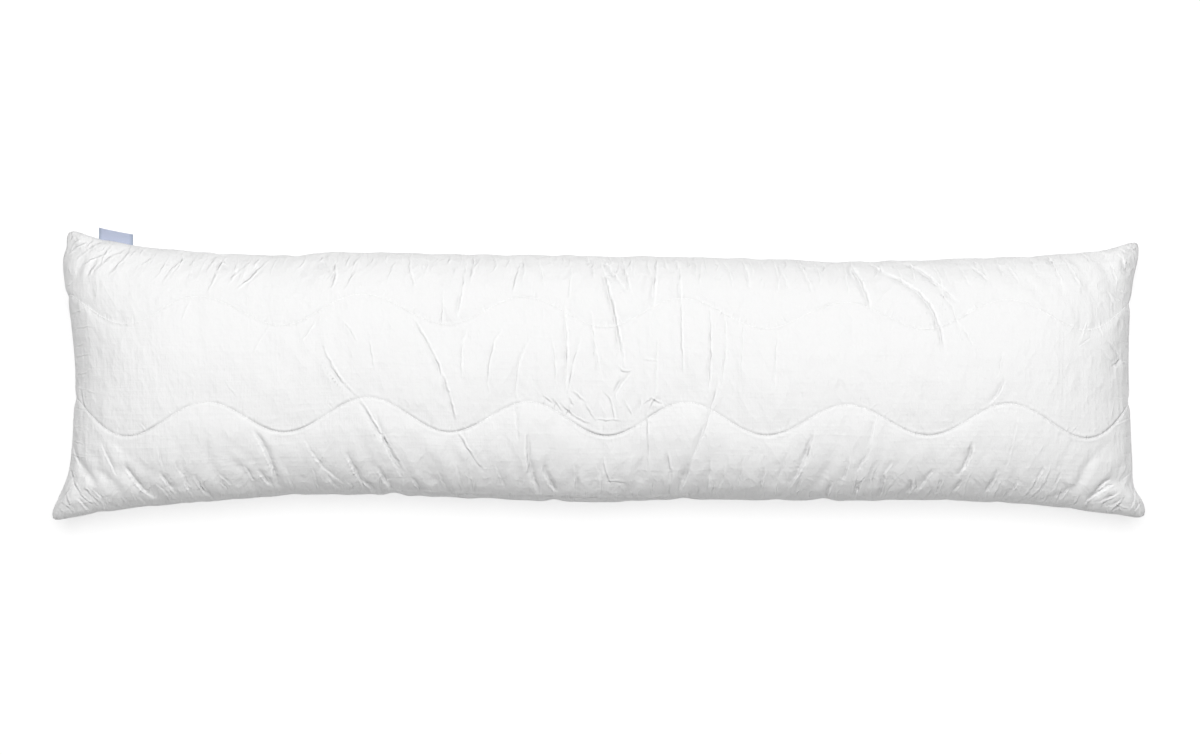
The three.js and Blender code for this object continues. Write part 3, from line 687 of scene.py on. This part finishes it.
def make_cover(points):
    """The cover's fine mesh, subdivided once, with its place in the cloth."""
    obj = mesh_object("cover", points, faces)
    mesh = obj.data
    place = np.stack([cloth_u * HALF_LENGTH, cloth_t * HALF_WIDTH, cloth_upper], -1)
    store_field(mesh, "place", place)
    lay_out(mesh, place[:, :2])
    on_rim = np.isin(read(mesh.edges, "vertices", 2, int), seam_vertices).all(1)
    sharp = mesh.attributes.new("crease_edge", "FLOAT", "EDGE")
    sharp.data.foreach_set("value", (SEAM_SHARPNESS * on_rim).astype(np.float32))
    smooth = obj.modifiers.new("subdivision", "SUBSURF")
    smooth.levels = smooth.render_levels = 1
    smooth.uv_smooth = "PRESERVE_BOUNDARIES"
    graph = bpy.context.evaluated_depsgraph_get()
    fine = bpy.data.meshes.new_from_object(obj.evaluated_get(graph))
    obj.modifiers.clear()
    obj.data = fine
    bpy.data.meshes.remove(mesh)
    fine.name = "cover"
    fine.shade_smooth()
    return obj


def seam_puckers():
    """Short puckers that start at the seams and lean away from the pillow's middle, as further creases."""
    rows = []
    for name, side in (("near", -1), ("far", 1)):
        line, _ = SEAMS[name]
        x = -float(PUCKERED_LENGTH)
        while x < PUCKERED_LENGTH:
            y = np.interp(x, line[:, 0], line[:, 1]) - side * rng.uniform(1, 5)
            reach = PUCKER_REACH[0] + (PUCKER_REACH[1] - PUCKER_REACH[0]) * rng.random() ** 2
            lean = x / HALF_LENGTH * (0.5 + 0.6 * (x / HALF_LENGTH) ** 6) + 0.18 * rng.standard_normal()
            bow = 3 * rng.standard_normal()
            rows.append((x, y, x + lean * reach, y - side * reach, bow, rng.uniform(0.25, 0.8)))
            x += rng.uniform(*PUCKER_PITCH)
    for name, side in (("left", -1), ("right", 1)):
        line, _ = SEAMS[name]
        y = float(END_PUCKERS[0])
        while y < END_PUCKERS[1]:
            x = np.interp(y, line[:, 1], line[:, 0]) - side * rng.uniform(1, 4)
            reach = rng.uniform(*END_PUCKER_REACH)
            lean = y / HALF_WIDTH * 0.9 + 0.25 * rng.standard_normal()
            bow = rng.standard_normal()
            rows.append((x, y, x - side * reach, y + lean * reach, bow, rng.uniform(0.08, 0.3)))
            y += rng.uniform(*END_PUCKER_PITCH)
    return rows


def soft_puckers():
    """Broad shallow puckers that run in from the side seams, for the mesh itself."""
    rows = []
    for name, side, most in (("near", -1, 1.5), ("far", 1, 0.7)):
        line, _ = SEAMS[name]
        x = -float(SOFT_LENGTH)
        while x < SOFT_LENGTH:
            y = np.interp(x, line[:, 0], line[:, 1])
            reach = rng.uniform(*SOFT_REACH)
            lean = x / HALF_LENGTH * 0.65 + 0.15 * rng.standard_normal()
            depth = most * rng.uniform(0.35, 1)
            rows.append((x, y, x + lean * reach, y - side * reach, 4 * rng.standard_normal(), depth))
            x += rng.uniform(*SOFT_PITCH)
    return rows


def line_ticks():
    """Ticks across the quilting lines, where the stitching gathers the cloth: most in the wave's lows."""
    rows = []
    for line in QUILT_LINES:
        u = -0.95
        while u < 0.95:
            low = 0.5 - 0.5 * wave_at(u)
            if rng.random() < 0.15 + 0.6 * low:
                slope = -line[1] * 2 * np.pi / WAVE_LENGTH * np.sin(phase_at(u))
                across = np.array([-slope, 1.0]) / math.hypot(slope, 1.0)
                place = seam_sheet(np.array([[u]]), np.array([[line_t(line, u)]]))[0, 0, :2]
                start = place + across * rng.uniform(-5, 1)
                end = start + (across + [0.25 * rng.standard_normal(), 0]) * rng.uniform(*TICK_LENGTH)
                rows.append((*start, *end, 0, rng.uniform(0.12, 0.34)))
            u += rng.uniform(*TICK_PITCH) / HALF_LENGTH
    return rows


def pack_creases(rows, x, y, allowed):
    """Lays the creases out in channels, so that no point has two in one: offset in mm, depth and width."""
    channels = np.zeros((CREASE_CHANNELS, len(x), 3))
    channels[...] = CREASE_SWATH, 0, 1
    taken = np.zeros((CREASE_CHANNELS, len(x)), bool)
    for row in rows:
        deep = row[5] + CREASE_LEAST
        width = CREASE_WIDTH + CREASE_WIDENING * row[5]
        share, off = beside_crease(row, x, y)
        length = math.hypot(row[2] - row[0], row[3] - row[1])
        beyond = np.maximum(np.abs(share - 0.5) - 0.5, 0) * length
        near = allowed & (beyond < CREASE_END) & (np.abs(off) < CREASE_SWATH)
        for k in range(CREASE_CHANNELS):
            if not (near & taken[k]).any():
                run = np.sin(np.pi * np.clip(share[near], 0, 1)) ** 0.6
                fade = 1 - smoothstep(np.abs(off[near]), 0.4 * CREASE_SWATH, 0.7 * CREASE_SWATH)
                widths = np.full(near.sum(), width)
                channels[k, near] = np.stack([off[near], deep * run * fade, widths], -1)
                taken[k] |= near
                break
    return channels


def dress_cover(obj):
    """The sculpted creases, and what the cloth's material reads on the fine mesh."""
    mesh = obj.data
    points, place = points_of(mesh), place_of(mesh)
    u, t, upper = place[:, 0] / HALF_LENGTH, place[:, 1] / HALF_WIDTH, place[:, 2] > 0.75
    lines = [np.abs(past_line(line, u, place[:, 1])) for line in QUILT_LINES]
    slope = np.sin(phase_at(u)) * 2 * np.pi / WAVE_LENGTH
    line_off = np.minimum(*lines) / np.sqrt(1 + (QUILT_LINES[0][1] * slope) ** 2)
    off_end, off_side = HALF_LENGTH - np.abs(place[:, 0]), HALF_WIDTH - np.abs(place[:, 1])
    seam_off = np.minimum(off_side, off_end)

    # x and y are views, so the creases below are laid out on the points that are sculpted here.
    x, y = points[:, 0], points[:, 1]
    deep = [row for row in CREASES if row[5] >= SCULPTED_FROM]
    sculpted = SCULPTED_GAIN * folds_at(x, y, deep, SCULPTED_WIDTH)
    sculpted += folds_at(x, y, soft_puckers(), SOFT_WIDTH)
    below = folds_at(x, y, soft_puckers(), SOFT_WIDTH)
    groove = LOWER_CHANNEL * np.exp(-((line_off / LOWER_CHANNEL_WIDTH) ** 2))
    rumpled = RUMPLED * noise(u, t, 60, 11)
    standing = np.where(upper, 1, smoothstep(points[:, 2], 6, 30))
    off_corner = smoothstep(np.hypot(off_end, off_side), 10, 90)
    calm = np.clip(seam_off / 7, 0, 1) * off_corner * np.clip(line_off / 5, 0.25, 1)
    depth = (np.where(upper, sculpted, below) + rumpled) * standing * calm
    depth += np.where(upper, 0, groove) * np.clip(seam_off / 9, 0, 1)
    points -= read(mesh.vertex_normals, "vector") * depth[:, None]
    mesh.vertices.foreach_set("co", ((points + shift) * MM).astype(np.float32).ravel())
    mesh.update()

    over = pack_creases(CREASES + line_ticks() + seam_puckers(), x, y, upper)
    under = pack_creases(seam_puckers(), x, y, ~upper)
    for k, channel in enumerate(np.where(upper[None, :, None], over, under)):
        store_field(mesh, f"crease_{k}", channel)
    lean = u * 0.5 * seam_off
    near_seam = np.exp(-seam_off / CRINKLE_REACH)
    store_field(mesh, "crinkle", np.stack([(place[:, 0] + lean) * MM, seam_off * MM, near_seam], -1))
    low = 0.5 - 0.5 * wave_at(u)
    middle = np.exp(-((u * HALF_LENGTH / 60) ** 2))
    at_end = np.exp(-off_end / 45)
    near_line = 0.5 + 0.35 * low + 0.5 * low**3 * middle
    far_line = 0.9 * at_end - 0.5 * (1 - at_end)
    # line_deep sets each quilting line's groove depth and how much painted shade it gets; on the far line
    # it is mostly negative, a ridge with a painted highlight.
    line_deep = np.where(lines[0] < lines[1], near_line, far_line)
    line_deep *= np.clip(1 + 0.25 * noise(u, t, 60, 8), 0.5, 1.5) * np.where(upper, 1, LOWER_LINE)
    store_field(mesh, "rims", np.stack([line_off, seam_off, line_deep], -1))


cover = make_cover(settled)
dress_cover(cover)

# --- The quilting's stitches ---

STITCH_PITCH = 3.6
STITCH_LENGTH = 2.7
THREAD_RADIUS = 0.42
STITCH_RISE = 0.5
STITCH_SINK = 0.35  # how far a stitch's ends dip into the cloth
THREAD_SIDES = 6
LOWER_POINTS = 700  # that a lower quilting line is measured on


def lower_line(line):
    """The nearest points of the finished lower panel to a quilting line, with the way out at each."""
    u = np.linspace(-0.99, 0.99, LOWER_POINTS)[:, None]
    guide = lower_panel(u, line_t(line, u))[:, 0]
    found = [cover.closest_point_on_mesh(tuple((point + shift) * MM)) for point in guide]
    on_cloth = np.array([tuple(location) for _, location, _, _ in found]) / MM - shift
    return on_cloth, np.array([tuple(normal) for _, _, normal, _ in found])


def upper_line(line):
    """The finished upper panel's points along a quilting line, with the way up at each."""
    mesh = cover.data
    place = place_of(mesh)
    off = np.abs(past_line(line, place[:, 0] / HALF_LENGTH, place[:, 1]))
    inside = np.abs(place[:, 0]) < HALF_LENGTH - 2
    on_line = np.where((off < 0.3) & (place[:, 2] > 0.9) & inside)[0]
    on_line = on_line[np.argsort(place[on_line, 0])]
    return points_of(mesh)[on_line], read(mesh.vertex_normals, "vector")[on_line].astype(float)


def make_stitches():
    """Every stitch of the quilting: a short thread that dips into the cloth at its ends."""
    ring = np.arange(THREAD_SIDES) / THREAD_SIDES * 2 * np.pi
    along = np.array([-0.5, -0.42, -0.2, 0.0, 0.2, 0.42, 0.5])
    points, faces = [], []
    for path_of in (upper_line, lower_line):
        for quilt_line in QUILT_LINES:
            line, ups = path_of(quilt_line)
            run = run_along(line)
            for middle in np.arange(STITCH_PITCH, run[-1] - STITCH_PITCH, STITCH_PITCH):
                length = STITCH_LENGTH * rng.uniform(0.92, 1.06)
                at = middle + along * length
                path = np.stack([np.interp(at, run, line[:, k]) for k in range(3)], -1)
                up = np.array([np.interp(middle, run, ups[:, k]) for k in range(3)])
                forward = (path[-1] - path[0]) / np.linalg.norm(path[-1] - path[0])
                side = np.cross(forward, up)
                up = np.cross(side, forward)
                arch = STITCH_RISE * (1 - (2 * along) ** 4) - STITCH_SINK
                path = path + up * arch[:, None]
                first = len(points) * len(along) * THREAD_SIDES
                last = first + THREAD_SIDES * (len(along) - 1)
                turn = THREAD_RADIUS * (np.cos(ring)[:, None] * side + np.sin(ring)[:, None] * up)
                points.append(path[:, None] + turn[None])
                for ring_start in range(first, last, THREAD_SIDES):
                    for j in range(THREAD_SIDES):
                        a, b = ring_start + j, ring_start + (j + 1) % THREAD_SIDES
                        faces.append((a, b, b + THREAD_SIDES, a + THREAD_SIDES))
                faces.append(tuple(range(first + THREAD_SIDES - 1, first - 1, -1)))
                faces.append(tuple(range(last, last + THREAD_SIDES)))
    obj = mesh_object("stitches", np.concatenate(points).reshape(-1, 3), faces)
    obj.data.shade_smooth()
    return obj


stitches = make_stitches()

# --- The label ---

LABEL_FROM = -651  # along the pillow, from one selvedge to the other
LABEL_TO = -606
LABEL_REACH = 14.0  # from the seam to its fold
LABEL_LEAN = 0.03
LABEL_LIFT = 2.0
LABEL_TUCK = 4.0  # held inside the seam
RIBBON = 0.42  # thickness of the woven ribbon
FOLD_RADIUS = 0.66  # of the fold's outside
LABEL_FLUTTER = 0.45
LABEL_COLUMNS = 45


def label_section():
    """The ribbon's outline in section, as out from the seam and up: its outside, then its inside."""
    turn = np.linspace(-np.pi / 2, np.pi / 2, 9)
    centre = LABEL_REACH - FOLD_RADIUS
    runs = np.linspace(-LABEL_TUCK, centre, 14)[:-1]
    inner = FOLD_RADIUS - RIBBON
    outside = [(o, -FOLD_RADIUS) for o in runs]
    outside += [(centre + FOLD_RADIUS * np.cos(a), FOLD_RADIUS * np.sin(a)) for a in turn]
    outside += [(o, FOLD_RADIUS) for o in runs[::-1]]
    inside = [(o, inner) for o in runs]
    inside += [(centre + inner * np.cos(a), inner * np.sin(a)) for a in turn[::-1]]
    inside += [(o, -inner) for o in runs[::-1]]
    return np.array(outside + inside)


def make_label():
    """The ribbon folded in two, its cut ends held in the far seam."""
    section = label_section()
    line, share = SEAMS["far"]
    from_share, to_share = np.interp([LABEL_FROM, LABEL_TO], line[:, 0], share)
    along = np.linspace(0, 1, LABEL_COLUMNS)
    at = from_share + (to_share - from_share) * along
    base = on_seam("far", at)
    height = seam_height(2 * at - 1, np.ones(LABEL_COLUMNS))
    outward = np.array([LABEL_LEAN, 1.0]) / math.hypot(LABEL_LEAN, 1.0)
    out = np.clip(section[:, 0] / LABEL_REACH, 0, 1)
    n = len(section)
    points = np.zeros((LABEL_COLUMNS, n, 3))
    points[..., :2] = base[:, None] + outward * section[None, :, :1]
    flutter = LABEL_FLUTTER * np.sin(along * 7.0 + 0.6)[:, None] * out[None]
    points[..., 2] = height[:, None] + section[:, 1] + LABEL_LIFT * out**2 + flutter
    faces = []
    for i in range(LABEL_COLUMNS - 1):
        for j in range(n):
            a, b = i * n + j, i * n + (j + 1) % n
            faces.append((a, b, b + n, a + n))
    # The two selvedges: quads between the ribbon's outside and its inside.
    end = (LABEL_COLUMNS - 1) * n
    for j in range(n // 2 - 1):
        faces.append((j + 1, j, n - 1 - j, n - 2 - j))
        faces.append((end + j, end + j + 1, end + n - 2 - j, end + n - 1 - j))
    obj = mesh_object("woven_label", points.reshape(-1, 3), faces)
    width = along[:, None] * (LABEL_TO - LABEL_FROM)
    cloth = np.stack(np.broadcast_arrays(width, run_along(section)[None]), -1)
    lay_out(obj.data, cloth.reshape(-1, 2))
    obj.data.shade_smooth()
    return obj


woven_label = make_label()

# --- Materials ---

COVER_WHITE = (0.86, 0.86, 0.86)
# Sizes of patches along and across the cloth, in metres.
THREAD = (0.00034, 0.00034)
SLUB = (0.006, 0.0006)
WANDER_PATCH = (0.013, 0.013)  # over which the creases wander aside
FIRM_PATCH = (0.017, 0.017)  # and are pressed more or less firmly
PUCKER_PATCH = (0.011, 0.06)
RUMPLE_PATCH = (0.022, 0.040)
CRUMPLE_PATCH = (0.021, 0.034)
PRESSED_UP = (0.006, 0.10)
PRESSED_ALONG = (0.12, 0.007)
WORN_PATCH = (0.09, 0.09)
# Depths in millimetres.
WEAVE_DEPTH = 0.05
PRESSED_DEPTH = 0.11
RUMPLE_DEPTH = 3.2
PUCKER_DEPTH = 0.8
CRUMPLE_DEPTH = 0.35
CRUMPLE_SIDES = 0.5  # how much deeper the crumpling is at the seams
GROOVE_DEPTH = 1.0
SEAM_DEPTH = 0.9
CREASE_WANDER = 5.0
CREASE_MOST = 1.5
# Shares of the tone: painted shade that crease cores and the quilting lines lose, a painted highlight that
# crease ridges and the far quilting line's ridge gain, and the slubs' darker yarn.
CREASE_SHADE = 0.03
LINE_SHADE = 0.05
SLUB_SHADE = 0.02
RIDGE_SHINE = 0.1
WORN_TONE = (0.985, 1.0)  # the least and most that wear leaves of it

RIB_SCALE = 260.0
LABEL_BLUE = (0.476, 0.521, 0.659)
LABEL_EDGE = (0.31, 0.37, 0.48)
THREAD_TONE = (0.88, 0.96)


class Nodes:
    """Short ways to add and join a material's nodes."""

    def __init__(self, tree):
        self.tree = tree

    def add(self, kind, *inputs, **settings):
        node = self.tree.nodes.new("ShaderNode" + kind)
        for name, value in settings.items():
            setattr(node, name, value)
        for k, value in enumerate(inputs):
            self.join(value, node.inputs[k])
        return node

    def join(self, value, socket):
        if isinstance(value, bpy.types.NodeSocket):
            self.tree.links.new(value, socket)
        elif value is not None:
            socket.default_value = value

    def math(self, operation, *inputs):
        return self.add("Math", *inputs, operation=operation).outputs[0]

    def total(self, *terms):
        result = terms[0]
        for term in terms[1:]:
            result = self.math("ADD", result, term)
        return result

    def times(self, *factors):
        result = factors[0]
        for factor in factors[1:]:
            result = self.math("MULTIPLY", result, factor)
        return result

    def bell(self, offset, width, middle=0.0):
        """A smooth bump of height 1 round the middle."""
        away = self.times(self.math("SUBTRACT", offset, middle), 1 / width)
        return self.math("EXPONENT", self.times(away, away, -1.0))

    def field(self, name):
        """The three numbers of a field that the mesh carries."""
        source = self.add("Attribute", attribute_name=name)
        return self.add("SeparateXYZ", source.outputs["Vector"]).outputs

    def noise(self, vector, scale, detail=3.0, roughness=0.5, kind="FBM"):
        node = self.add("TexNoise", vector, noise_type=kind)
        self.set(node, Scale=scale, Detail=detail, Roughness=roughness)
        if kind == "RIDGED_MULTIFRACTAL":
            self.set(node, Offset=1.0, Gain=1.0)
        return node.outputs[0]

    def set(self, node, **values):
        for name, value in values.items():
            node.inputs[name].default_value = value

    def stretched(self, vector, *size):
        """The place measured in cells of the given sizes."""
        cells = tuple(1 / s for s in size)
        return self.add("VectorMath", vector, cells, operation="MULTIPLY").outputs[0]

    def patches(self, vector, size, detail=2.0, roughness=0.5, kind="FBM"):
        """Noise in patches of a given size along and across the cloth, in metres."""
        return self.noise(self.stretched(vector, *size, 1.0), 1.0, detail, roughness, kind)

    def ridges(self, vector, size, detail=2.0, roughness=0.5):
        return self.patches(vector, size, detail, roughness, "RIDGED_MULTIFRACTAL")

    def wave(self, vector, scale, distortion, direction):
        node = self.add("TexWave", vector, bands_direction=direction)
        self.set(node, Scale=scale, Distortion=distortion)
        return node.outputs

    def range(self, value, low, high):
        node = self.add("MapRange", value)
        node.inputs["To Min"].default_value = low
        node.inputs["To Max"].default_value = high
        return node.outputs[0]

    def bump(self, shader, height, strength, distance):
        node = self.add("Bump")
        self.set(node, Strength=strength, Distance=distance)
        self.join(height, node.inputs["Height"])
        self.join(node.outputs["Normal"], shader.inputs["Normal"])


def new_material(name):
    """A material, its nodes and its shader."""
    material = bpy.data.materials.new(name)
    material.use_nodes = True
    return material, Nodes(material.node_tree), material.node_tree.nodes["Principled BSDF"]


def cover_material():
    """Fine microfibre: a plain weave with slubs, pressed, crumpled, creased and grooved at its seams, with
    painted shade and painted highlights along its creases and quilting lines.
    """
    material, n, shader = new_material("cover_cloth")
    shader.inputs["Roughness"].default_value = 0.78
    shader.inputs["Specular IOR Level"].default_value = 0.25
    shader.inputs["Sheen Weight"].default_value = 0.08
    shader.inputs["Sheen Roughness"].default_value = 0.5
    cut = n.add("UVMap", uv_map="cut").outputs[0]

    wander = n.math("SUBTRACT", n.patches(cut, WANDER_PATCH), 0.5)
    wander = n.times(wander, CREASE_WANDER)
    firmness = n.add("MapRange", n.patches(cut, FIRM_PATCH)).outputs[0]
    firmness = n.times(n.total(firmness, -0.12), 2.6)
    creases, shade = [], []
    for k in range(CREASE_CHANNELS):
        off, deep, width = n.field(f"crease_{k}")
        off = n.math("DIVIDE", n.total(off, wander), width)
        deep = n.math("MINIMUM", n.times(deep, firmness), CREASE_MOST)
        core = n.bell(off, 0.9)
        ridge = n.bell(off, 1.0, 1.6)
        profile = n.math("SUBTRACT", n.times(ridge, 0.8), n.times(core, 0.7))
        creases.append(n.times(profile, deep))
        # Painted shade in the crease's core, less a painted highlight on the ridge beside it.
        ridge_painted_highlight = n.times(ridge, RIDGE_SHINE / CREASE_SHADE)
        shade.append(n.times(n.math("SUBTRACT", core, ridge_painted_highlight), deep))
    line_off, seam_off, line_deep = n.field("rims")
    drawn = n.times(n.bell(line_off, 2.0, 3.8), 0.3)
    drawn = n.math("SUBTRACT", drawn, n.bell(line_off, 1.5))
    groove = n.times(drawn, line_deep, GROOVE_DEPTH)
    join = n.times(n.bell(seam_off, 1.3), -SEAM_DEPTH)

    along, across, near_seam = n.field("crinkle")
    grain = n.add("CombineXYZ", along, across, 0.0).outputs[0]
    puckered = n.times(n.ridges(grain, PUCKER_PATCH), near_seam, PUCKER_DEPTH)
    rumpled = n.times(n.patches(cut, RUMPLE_PATCH, 4.0, 0.55), RUMPLE_DEPTH)
    crumpling = n.math("MULTIPLY_ADD", near_seam, CRUMPLE_SIDES, CRUMPLE_DEPTH)
    crumpled = n.times(n.ridges(cut, CRUMPLE_PATCH, 3.0, 0.6), crumpling)
    pressed = n.total(n.ridges(cut, PRESSED_UP), n.ridges(cut, PRESSED_ALONG))
    pressed = n.times(pressed, PRESSED_DEPTH)
    warp, weft = [n.wave(n.stretched(cut, *THREAD, 1.0), 1 / 20, 0.0, way)["Fac"] for way in "XY"]
    slub, slub_up = n.patches(cut, SLUB), n.patches(cut, SLUB[::-1])
    threads = n.times(n.total(n.times(warp, weft), slub, slub_up), WEAVE_DEPTH)
    height = n.total(*creases, groove, join, puckered, rumpled, crumpled, pressed, threads)
    n.bump(shader, height, 1.0, MM)

    # Painted shade in the crease cores and along the quilting lines' grooves, which turns into a painted
    # highlight on the far line's ridge where its depth is negative; it is taken off the cloth's tone.
    painted_shade_and_highlight = n.times(n.total(*shade), CREASE_SHADE)
    painted_shade_and_highlight = n.total(painted_shade_and_highlight, n.times(n.bell(line_off, 1.2), line_deep, LINE_SHADE))
    tone = n.math("SUBTRACT", n.range(n.patches(cut, WORN_PATCH, 4.0), *WORN_TONE), painted_shade_and_highlight)
    thread_tone = n.math("SUBTRACT", tone, n.times(n.total(slub, slub_up), SLUB_SHADE))
    colour = n.add("VectorMath", COVER_WHITE, None, operation="SCALE")
    n.join(thread_tone, colour.inputs["Scale"])
    n.join(colour.outputs[0], shader.inputs["Base Color"])
    return material


cover.data.materials.clear()
cover.data.materials.append(cover_material())


def label_material():
    """Ribbed satin ribbon, a little darker along its selvedges."""
    material, n, shader = new_material("label_ribbon")
    shader.inputs["Roughness"].default_value = 0.6
    cut = n.add("UVMap", uv_map="cut").outputs[0]
    ribs = n.wave(cut, RIB_SCALE, 0.6, "X")
    along = n.add("SeparateXYZ", cut).outputs[0]
    edge = n.add("ValToRGB", n.times(along, 1 / ((LABEL_TO - LABEL_FROM) * MM)))
    marks = edge.color_ramp.elements
    marks[0].color = (*LABEL_EDGE, 1)
    marks[1].position = 0.09
    marks[1].color = (*LABEL_BLUE, 1)
    marks.new(0.88).color = (*LABEL_BLUE, 1)
    marks.new(1.0).color = (*LABEL_EDGE, 1)
    mix = n.add("Mix", data_type="RGBA", blend_type="MULTIPLY")
    mix.inputs["Factor"].default_value = 0.22
    n.join(edge.outputs["Color"], mix.inputs["A"])
    n.join(ribs["Color"], mix.inputs["B"])
    n.join(mix.outputs["Result"], shader.inputs["Base Color"])
    n.bump(shader, n.total(ribs["Fac"], n.noise(cut, 260.0)), 0.6, 0.0002)
    return material


def thread_material():
    """Mercerised sewing thread: twisted plies."""
    material, n, shader = new_material("stitch_thread")
    shader.inputs["Roughness"].default_value = 0.5
    place = n.add("TexCoord").outputs["Object"]
    twist = n.wave(n.stretched(place, 0.0006, 0.0006, 0.0006), 0.3, 1.5, "DIAGONAL")["Fac"]
    fuzz = n.noise(n.stretched(place, 0.0004, 0.0004, 0.0004), 1.0)
    n.bump(shader, n.total(twist, fuzz), 0.5, 0.1 * MM)
    tone = n.range(twist, *THREAD_TONE)
    n.join(n.add("CombineXYZ", tone, tone, tone).outputs[0], shader.inputs["Base Color"])
    return material


stitches.data.materials.append(thread_material())
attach(stitches, "root")

woven_label.data.materials.append(label_material())
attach(woven_label, "root")
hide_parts("label")

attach(cover, "root")
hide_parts("pillow")

# --- Stage, light, camera ---

FLOOR_HALF = 6.0  # metres, as the light's places and sizes
HORIZON = 0.02
ZENITH = 0.14
SKY_LEAN = 0.36  # how much brighter the sky is on the far side
KEY_PLACE = (0.1, 1.44, 6.2)
KEY_POWER = 460.0
KEY_SIZE = (5.0, 4.0)


def make_floor():
    """A floor that glows, so that it comes out as white as the photograph's background."""
    half = FLOOR_HALF
    corners = [(-half, -half, 0), (half, -half, 0), (half, half, 0), (-half, half, 0)]
    mesh = bpy.data.meshes.new("floor")
    mesh.from_pydata(corners, [], [(0, 1, 2, 3)])
    floor = add_object("floor", mesh)
    material, _, shader = new_material("floor_paper")
    shader.inputs["Base Color"].default_value = (0.4, 0.4, 0.4, 1)
    shader.inputs["Roughness"].default_value = 0.95
    shader.inputs["Emission Color"].default_value = (1, 1, 1, 1)
    shader.inputs["Emission Strength"].default_value = 0.64
    mesh.materials.append(material)


def area_light(name, place, aim, size, power):
    """A rectangular light that faces the place it is aimed at."""
    light = bpy.data.lights.new(name, "AREA")
    light.shape = "RECTANGLE"
    light.size, light.size_y = size
    light.energy = power
    obj = add_object(name, light)
    obj.location = place
    obj.rotation_euler = Vector(np.array(aim) - np.array(place)).to_track_quat("-Z", "Y").to_euler()


def make_sky():
    """A dome that is brightest overhead, like a soft box over the table."""
    world = bpy.data.worlds.new("studio")
    world.use_nodes = True
    n = Nodes(world.node_tree)
    way = n.add("TexCoord").outputs["Generated"]
    height = n.add("VectorMath", way, (0.0, SKY_LEAN, 1.0), operation="DOT_PRODUCT")
    ramp = n.add("ValToRGB", height.outputs["Value"])
    for mark, grey in zip(ramp.color_ramp.elements, (HORIZON, ZENITH)):
        mark.color = (grey, grey, grey, 1)
    n.join(ramp.outputs["Color"], world.node_tree.nodes["Background"].inputs["Color"])
    bpy.context.scene.world = world


make_floor()
make_sky()
area_light("key", KEY_PLACE, (0, 0, 0), KEY_SIZE, KEY_POWER)
bpy.context.scene.view_settings.view_transform = "Standard"

PHOTO_SCALE = 1.30  # millimetres a pixel at the seam
PHOTO_WIDTH = 1200
SENSOR = 36.0
CAMERA_HEIGHT = 5000  # above the seam
VIEW_CENTRE = (1.95, -3.25)

camera_data = bpy.data.cameras.new("camera")
camera_data.sensor_width = SENSOR
camera_data.lens = SENSOR * CAMERA_HEIGHT / (PHOTO_SCALE * PHOTO_WIDTH)
camera = add_object("camera", camera_data)
camera.location = (np.array([*VIEW_CENTRE, SEAM_HEIGHT + CAMERA_HEIGHT]) + shift) * MM
bpy.context.scene.camera = camera
